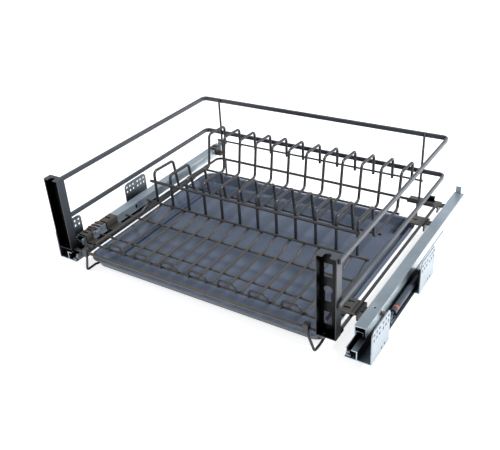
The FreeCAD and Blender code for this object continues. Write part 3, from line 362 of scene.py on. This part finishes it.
class RACK_OT_mould_tray(bpy.types.Operator):
    """Gives the drip tray its plastic, with painted shade on its slopes and in its drain grooves
    """

    bl_idname = "rack.mould_tray"
    bl_label = "Mould drip tray"

    def execute(self, context):
        finish = context.scene.rack_finish
        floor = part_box("drip_tray")[0].z + 2.5 * MM  # top of the tray's floor
        material, tree = blank_material("moulded_slate_polystyrene")
        spot = add_node(tree, "ShaderNodeTexCoord").outputs["Object"]
        # water marks of a few centimetres, very faint
        cloud = add_node(tree, "ShaderNodeTexNoise", {"Vector": spot, "Scale": 26.0,
                         "Detail": 4.0, "Distortion": 0.6})
        colour = mixed(tree, cloud.outputs["Fac"], tuple(finish.tray_colour), linear("#545e70"))
        # painted shade: faces turned to the left and the grooves below the floor's top are
        # darkened to deep navy
        facing = add_node(tree, "ShaderNodeSeparateXYZ",
                          {0: add_node(tree, "ShaderNodeNewGeometry").outputs["True Normal"]})
        slope = add_node(tree, "ShaderNodeMapRange", {"Value": facing.outputs["X"],
                         "From Min": -0.6, "From Max": -0.2, "To Min": 0.8, "To Max": 0.0})
        height = add_node(tree, "ShaderNodeSeparateXYZ", {0: spot})
        groove = add_node(tree, "ShaderNodeMapRange", {
            "Value": height.outputs["Z"], "From Min": floor - 0.7 * MM,
            "From Max": floor - 0.2 * MM, "To Min": 1.0, "To Max": 0.0})
        painted_shade = add_node(tree, "ShaderNodeMath", {0: slope.outputs[0], 1: groove.outputs[0]},
                        operation="MAXIMUM")
        colour = mixed(tree, painted_shade.outputs[0], colour, linear("#323b52"))
        rough = add_node(tree, "ShaderNodeMapRange", {"Value": cloud.outputs["Fac"],
                         "To Min": 0.2, "To Max": 0.28})
        edge = add_node(tree, "ShaderNodeBevel", {"Radius": TRAY_EDGE}, samples=4)
        close(tree, add_node(tree, "ShaderNodeBsdfPrincipled", {
            "Base Color": colour, "Roughness": rough.outputs[0], "Normal": edge.outputs[0]}))
        dress(["drip_tray"], material)
        return {"FINISHED"}


class RACK_OT_weld_wires(bpy.types.Operator):
    """Puts a weld bead where each wire crosses the wire that carries it"""

    bl_idname = "rack.weld_wires"
    bl_label = "Weld wires"

    def execute(self, context):
        beads = bmesh.new()
        low, high = box_mm("bowl_wires")
        half_wire, bead = 2.0, 2.3
        step = (high.x - low.x - 2 * half_wire) / (BOWL_WIRES - 1)
        for name, under in (("bowl_front_wire", True), ("bowl_second_wire", True),
                            ("bowl_third_wire", True), ("bowl_rear_wire", False)):
            start, end = box_mm(name)
            height = end.z if under else start.z
            for i in range(BOWL_WIRES):
                spot = (low.x + half_wire + i * step, (start.y + end.y) / 2, height)
                weld_bead(beads, spot, bead)
        if len(beads.verts) == 0:
            raise RuntimeError("the bowl wires have no welds")
        coat = bpy.data.materials["powder_coated_wire"]
        new_piece("bowl_welds", beads, coat, "basket")
        beads = bmesh.new()
        for name in ("front_row_rail", "foot_wire", "valley_wire", "upper_rear_wire"):
            start, end = box_mm(name)
            for divider in DIVIDERS:
                left, right = box_mm(divider)
                spot = ((left.x + right.x) / 2, (start.y + end.y) / 2, (start.z + end.z) / 2)
                weld_bead(beads, spot, (end.z - start.z) * 0.62)
        grey = bpy.data.materials["powder_coated_divider"]
        new_piece("divider_welds", beads, grey, "basket")
        return {"FINISHED"}


class RACK_OT_fit_small_parts(bpy.types.Operator):
    """Adds clips, stops, wheels and the latch to the runners and brackets"""

    bl_idname = "rack.fit_small_parts"
    bl_label = "Fit small parts"

    def execute(self, context):
        zinc = bpy.data.materials["zinc_plated_screw_plate"]
        brown = moulded("moulded_brown_acetal", linear("#54453a"), linear("#4a3c32"), 0.35, 0.5)
        self.fit_basket(bpy.data.materials["powder_coated_bracket"])
        for name, mirror in (("left", -1), ("right", 1)):
            self.fit_runner(name, mirror, zinc, brown)
        self.fit_latch(zinc, brown, bpy.data.materials["powder_coated_wire"])
        return {"FINISHED"}

    def fit_basket(self, dark):
        """Strip in the left bracket, tab on the right rear plate, sleeve on the side wire."""
        # the strip closes the left bracket's channel in front of its keyhole
        low, high = box_mm("left_front_bracket")
        strip = bmesh.new()
        block(strip, (low.x + 1.6, high.x - 1.6), (high.y - 1.95, high.y - 1.5),
              (low.z + 2.0, high.z - 0.5), 0.15)
        new_piece("left_bracket_strip", strip, dark, "basket")
        # the tab stands on the plate's rear end, and its top is turned back
        low, high = box_mm("base_frame")
        plate_top, tab_sides, tab_front = low.z, (487, 503), 399
        tab = bmesh.new()
        block(tab, tab_sides, (tab_front, 401.5), (plate_top - 0.4, plate_top + 9), 0.5)
        block(tab, tab_sides, (tab_front, 405), (plate_top + 7, plate_top + 9), 0.5)
        new_piece("rear_plate_tab", tab, dark, "basket")
        # the sleeve is a long thin ring with a shorter, thicker one over it
        side, height = high.x - 2.5, -23.5
        sleeve = bmesh.new()
        for start, end, radius in ((-9, 1, 3.6), (-7.5, -0.5, 4.4)):
            turned(sleeve, (side, (start + end) / 2, height), radius, end - start, "Y", 0.5)
        new_piece("side_wire_sleeve", sleeve, dark, "basket")

    def fit_runner(self, name, mirror, zinc, brown):
        """Damper clip, height wheel and end stop of one runner, measured inward from the
        outer face of its screw plate."""
        left, right = box_mm(name + "_front_plate")
        outer = right.x if mirror > 0 else left.x

        def span(first, second):
            return sorted(outer - mirror * inward for inward in (first, second))

        floor = box_mm(name + "_cabinet_rail")[0].z + 1.5  # top of the rail's floor
        start = box_mm(name + "_damper")[0].y
        clip = bmesh.new()
        block(clip, span(9.0, 19.9), (start - 17, start - 3), (floor, floor + 1.2), 0.3)
        block(clip, span(9.0, 19.9), (start - 4.2, start - 3), (floor, floor + 5.0), 0.3)
        for inward, ahead in ((11.5, 14.0), (17.0, 9.0)):
            rivet = (outer - mirror * inward, start - ahead, floor + 1.6)
            turned(clip, rivet, 2.0, 1.4, "Z", 0.4)
        new_piece(name + "_damper_clip", clip, zinc, "runners")
        # the wheel's hub, rim and cap, one after another out from the drawer rail's wall
        wall = outer - mirror * 20.0
        wheel = bmesh.new()
        for reach, radius in ((0.9, 2.2), (2.7, 4.2), (4.5, 3.0)):
            turned(wheel, (wall + mirror * reach, 50, -18), radius, 2.2, "X", 0.4)
        new_piece(name + "_height_wheel", wheel, brown, "basket")
        stop = bmesh.new()
        block(stop, span(29.5, 36.4), (-29, -23), (floor, floor + 3.2), 0.8)
        block(stop, span(32.0, 36.4), (-26, -21), (floor, floor + 6.0), 0.8)
        new_piece(name + "_rail_stop", stop, zinc, "runners")

    def fit_latch(self, zinc, brown, coat):
        """Housing, lever and catch at the left drawer rail's front end, and the lug by it."""
        low, high = box_mm("left_drawer_rail")
        left, right, front = low.x, high.x, low.y
        top = -9.0  # the rail's top face, without its hook
        housing = bmesh.new()
        block(housing, (left + 2, right - 2), (18, 48), (top, top + 3.5), 1.0)
        for rib in (22, 30, 38):
            block(housing, (left + 3, right - 5), (rib, rib + 3.5), (top + 3, top + 5.5), 0.8)
        new_piece("left_latch_housing", housing, brown, "basket")
        lever = bmesh.new()
        for across, along in (((left + 6, right + 12), (26, 29)),
                              ((right + 9, right + 12), (14, 29)),
                              ((left + 5, right + 5), (34, 37))):
            block(lever, across, along, (top + 3.2, top + 4.7), 0.4)
        new_piece("left_latch_lever", lever, zinc, "basket")
        # two cheeks in front of the rail's walls, and the bar between them
        catch = bmesh.new()
        for across in ((left + 0.2, left + 2.6), (right - 2.6, right - 0.2)):
            block(catch, across, (front - 7, front + 0.3), (top - 13, top - 1), 0.5)
        block(catch, (left + 0.2, right - 0.2), (front - 8, front - 6), (top - 9, top - 4), 0.5)
        new_piece("left_latch_catch", catch, zinc, "basket")
        lug = bmesh.new()
        block(lug, (right + 6, right + 20), (-12, -4), (-21.5, -17.5), 0.8)
        turned(lug, (right + 13, -8, -17.2), 2.6, 2.0, "Z", 0.5)
        new_piece("left_corner_lug", lug, coat, "basket")


class RACK_OT_set_stage(bpy.types.Operator):
    """Makes the pale floor, the soft studio light and the camera"""

    bl_idname = "rack.set_stage"
    bl_label = "Set stage"

    def execute(self, context):
        studio = context.scene.rack_studio
        self.lay_floor(context, studio)
        self.light_room(context, studio)
        self.hang_lamps(context, studio)
        self.place_camera(context, studio)
        context.scene.view_settings.view_transform = "Standard"
        return {"FINISHED"}

    def lay_floor(self, context, studio):
        """White paper sweep: the camera sees it lit up to white, with the shadow kept."""
        half_size, gap = 6.0, 0.5 * MM
        below = Vector((RACK_MIDDLE.x, RACK_MIDDLE.y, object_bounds()[0].z - gap))
        ground = bmesh.new()
        bmesh.ops.create_grid(ground, x_segments=2, y_segments=2, size=half_size)
        bmesh.ops.translate(ground, verts=ground.verts, vec=below)
        mesh = bpy.data.meshes.new("floor")
        ground.to_mesh(mesh)
        ground.free()
        floor = bpy.data.objects.new("floor", mesh)
        context.scene.collection.objects.link(floor)
        floor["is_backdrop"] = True
        material, tree = blank_material("paper_sweep")
        rays = add_node(tree, "ShaderNodeLightPath").outputs
        seen = add_node(tree, "ShaderNodeMath", {0: rays["Is Camera Ray"],
                                                 1: rays["Is Glossy Ray"]}, operation="MAXIMUM")
        lift = add_node(tree, "ShaderNodeMath", {0: seen.outputs[0], 1: studio.paper_lift},
                        operation="MULTIPLY")
        paper = add_node(tree, "ShaderNodeBsdfDiffuse", {"Color": linear("#d8d8d8")})
        glow = add_node(tree, "ShaderNodeEmission", {"Strength": lift.outputs[0]})
        close(tree, add_node(tree, "ShaderNodeAddShader", {0: paper.outputs[0],
                                                           1: glow.outputs[0]}))
        mesh.materials.append(material)

    def light_room(self, context, studio):
        """Bright wall low down behind and to the right of the rack, dim ceiling and front."""
        world = bpy.data.worlds.new("studio")
        context.scene.world = world
        world.use_nodes = True
        tree = world.node_tree
        tree.nodes.clear()
        way = add_node(tree, "ShaderNodeSeparateXYZ",
                       {0: add_node(tree, "ShaderNodeTexCoord").outputs["Generated"]})
        low = add_node(tree, "ShaderNodeMapRange", {
            "Value": way.outputs["Z"], "From Min": 0.1, "From Max": 0.95, "To Min": 1.0,
            "To Max": 0.0}, interpolation_type="SMOOTHSTEP")
        behind = add_node(tree, "ShaderNodeMath", {
            0: way.outputs["X"], 1: 0.6, 2: way.outputs["Y"]}, operation="MULTIPLY_ADD")
        rear = add_node(tree, "ShaderNodeMapRange", {
            "Value": behind.outputs[0], "From Min": -0.5, "From Max": 0.5},
            interpolation_type="SMOOTHSTEP")
        wall = add_node(tree, "ShaderNodeMath", {0: low.outputs[0], 1: rear.outputs[0]},
                        operation="MULTIPLY")
        level = add_node(tree, "ShaderNodeMath", {
            0: wall.outputs[0], 1: studio.wall_light, 2: studio.room_light},
            operation="MULTIPLY_ADD")
        # the camera itself sees plain white
        seen = add_node(tree, "ShaderNodeLightPath").outputs["Is Camera Ray"]
        shown = add_node(tree, "ShaderNodeMath", {0: level.outputs[0], 1: seen},
                         operation="MAXIMUM")
        back = add_node(tree, "ShaderNodeBackground", {"Color": linear("#f4f8ff"),
                                                       "Strength": shown.outputs[0]})
        add_node(tree, "ShaderNodeOutputWorld", {"Surface": back.outputs[0]})

    def hang_lamps(self, context, studio):
        """Key light from the right and a weak fill from the left front."""
        fill_share = 0.18
        for name, spot, power, span in (
                ("key", (1.7, 0.25, 1.5), studio.key_power, 0.5),
                ("fill", (-0.6, -0.9, 1.4), studio.key_power * fill_share, 1.0)):
            light = bpy.data.lights.new(name, "AREA")
            light.energy = power
            light.size = span
            lamp = bpy.data.objects.new(name, light)
            lamp.location = spot
            aim = RACK_MIDDLE - Vector(spot)
            lamp.rotation_euler = aim.to_track_quat("-Z", "Y").to_euler()
            context.scene.collection.objects.link(lamp)

    def place_camera(self, context, studio):
        """Camera at the photograph's place, with its roll and its shifted middle."""
        lens = bpy.data.cameras.new("camera")
        camera = bpy.data.objects.new("camera", lens)
        context.scene.collection.objects.link(camera)
        lens.sensor_width = 36.0
        lens.lens = studio.lens
        lens.shift_x, lens.shift_y = CAMERA_SHIFT
        lens.clip_start = 10 * MM
        azimuth, elevation, roll = (math.radians(v) for v in CAMERA_TURN)
        back = Vector((math.sin(azimuth) * math.cos(elevation),
                       -math.cos(azimuth) * math.cos(elevation), math.sin(elevation)))
        right = Vector((math.cos(azimuth), math.sin(azimuth), 0.0))
        up = right.cross(-back)
        side = right * math.cos(roll) + up * math.sin(roll)
        top = up * math.cos(roll) - right * math.sin(roll)
        turn = Matrix((side, top, back)).transposed().to_4x4()
        camera.matrix_world = Matrix.Translation(CAMERA_SPOT) @ turn
        context.scene.camera = camera


class RACK_PT_panel(bpy.types.Panel):
    """Sidebar panel with the rack's steps"""

    bl_idname = "RACK_PT_panel"
    bl_label = "Dish rack"
    bl_space_type = "VIEW_3D"
    bl_region_type = "UI"
    bl_category = "Dish rack"

    def draw(self, context):
        for group in (context.scene.rack_finish, context.scene.rack_studio):
            for key in group.__annotations__:
                self.layout.prop(group, key)
        for step in STEPS:
            self.layout.operator(step.bl_idname)


STEPS = (RACK_OT_coat_wires, RACK_OT_plate_runners, RACK_OT_mould_tray, RACK_OT_weld_wires,
         RACK_OT_fit_small_parts, RACK_OT_set_stage)
CLASSES = (RackFinish, StudioSizes, *STEPS, RACK_PT_panel)


def register():
    for item in CLASSES:
        bpy.utils.register_class(item)
    bpy.types.Scene.rack_finish = bpy.props.PointerProperty(type=RackFinish)
    bpy.types.Scene.rack_studio = bpy.props.PointerProperty(type=StudioSizes)


def unregister():
    del bpy.types.Scene.rack_studio
    del bpy.types.Scene.rack_finish
    for item in reversed(CLASSES):
        bpy.utils.unregister_class(item)


def main():
    register()
    bpy.ops.rack.coat_wires()
    bpy.ops.rack.plate_runners()
    bpy.ops.rack.mould_tray()
    bpy.ops.rack.weld_wires()
    bpy.ops.rack.fit_small_parts()
    bpy.ops.rack.set_stage()


if __name__ == "__main__":
    main()
